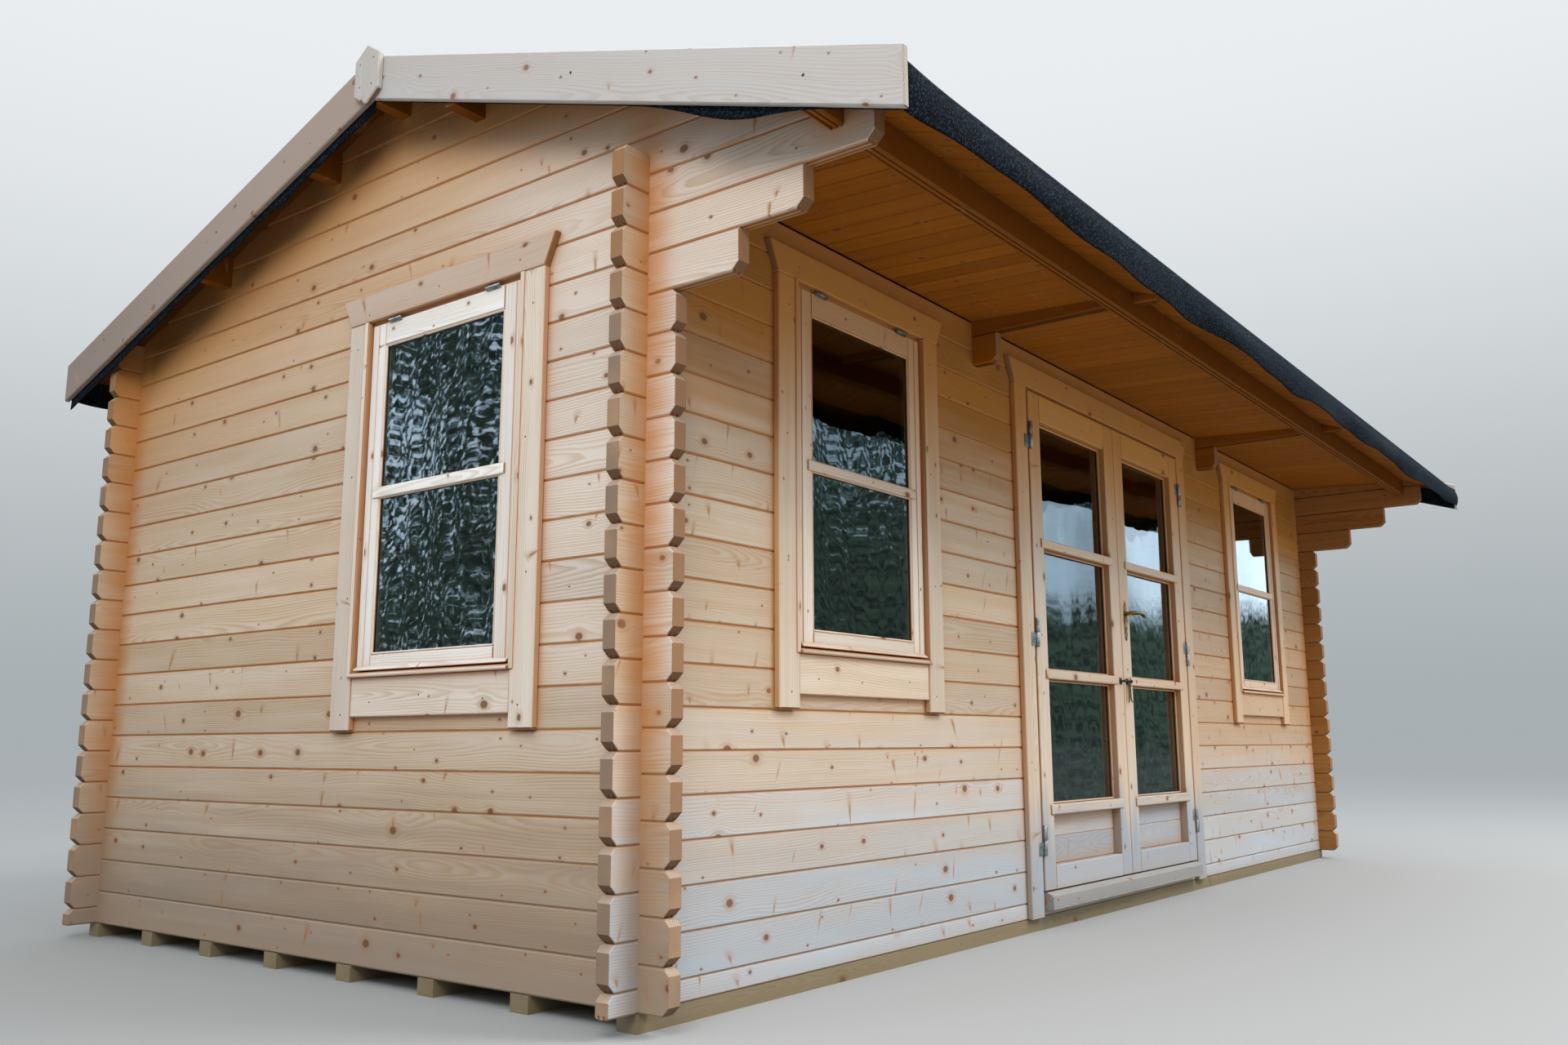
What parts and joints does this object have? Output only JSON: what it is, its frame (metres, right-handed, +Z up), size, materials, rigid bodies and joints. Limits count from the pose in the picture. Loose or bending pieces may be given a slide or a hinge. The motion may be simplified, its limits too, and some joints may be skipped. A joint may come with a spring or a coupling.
{
  "type": "garden shed",
  "caption": "Garden cabin of interlocking logs with glazed double doors, cased windows and a felted gable roof that reaches out over a porch.",
  "frame": {"origin": "on the ground under the ridge, half way along it", "axes": "+X along the front wall towards its right end seen from the front, +Y from the front with the doors to the back, +Z up"},
  "size_m": [6.307, 3.99, 2.9155],
  "materials": {
    "spruce": "satin",
    "boarding": "matte",
    "bearer_timber": "matte",
    "joinery": "satin",
    "weathered_wood": "matte",
    "felt": "matte",
    "glass": "gloss",
    "zinc": "satin",
    "brass": "satin"
  },
  "bodies": {
    "cabin": {"front_sill_log": "spruce", "front_wall_left": "spruce", "front_wall_right": "spruce", "front_top_logs": "spruce", "back_wall": "spruce", "gable_wall_left": "spruce", "gable_wall_right": "spruce", "tie_beams": "spruce", "canopy_purlin": "spruce", "ridge_purlin": "spruce", "slope_purlins": "spruce", "truss_rafters": "spruce", "king_posts": "spruce", "roof_boards_front": "boarding", "roof_boards_back": "boarding", "porch_ceiling": "boarding", "floor_deck": "boarding", "bearers": "bearer_timber", "roof_felt_front": "felt", "roof_felt_back": "felt", "bargeboards_left": "joinery", "bargeboards_right": "joinery", "ridge_plates": "joinery", "gable_window_frame": "joinery", "gable_window_sash": "joinery", "left_window_frame": "joinery", "left_window_sash": "joinery", "right_window_frame": "joinery", "right_window_sash": "joinery", "door_frame": "joinery", "door_trim": "joinery", "threshold": "weathered_wood", "window_glass": "glass", "window_hinges": "zinc", "frame_hinges": "zinc"},
    "left_door": {"left_leaf": "joinery", "left_leaf_glass": "glass", "left_leaf_hardware": "zinc"},
    "right_door": {"right_leaf": "joinery", "right_leaf_glass": "glass", "right_leaf_hardware": "zinc", "lock_plates": "brass"},
    "handle": {"lever_handle": "brass"}
  },
  "joints": [
    {"name": "left_door_hinge", "type": "hinge", "parent": "cabin", "child": "left_door", "pos_m": [-0.8105, -1.1293, 1.1165], "axis": [0, 0, -1], "range_deg": [0, 110]},
    {"name": "right_door_hinge", "type": "hinge", "parent": "cabin", "child": "right_door", "pos_m": [0.8105, -1.1293, 1.1165], "axis": [0, 0, 1], "range_deg": [0, 110]},
    {"name": "lever_turn", "type": "hinge", "parent": "right_door", "child": "handle", "pos_m": [0.076, -1.122, 1.2585], "axis": [0, 1, 0], "range_deg": [0, 45], "stiffness_Nm_per_rad": 2, "springref_deg": -20.05}
  ]
}
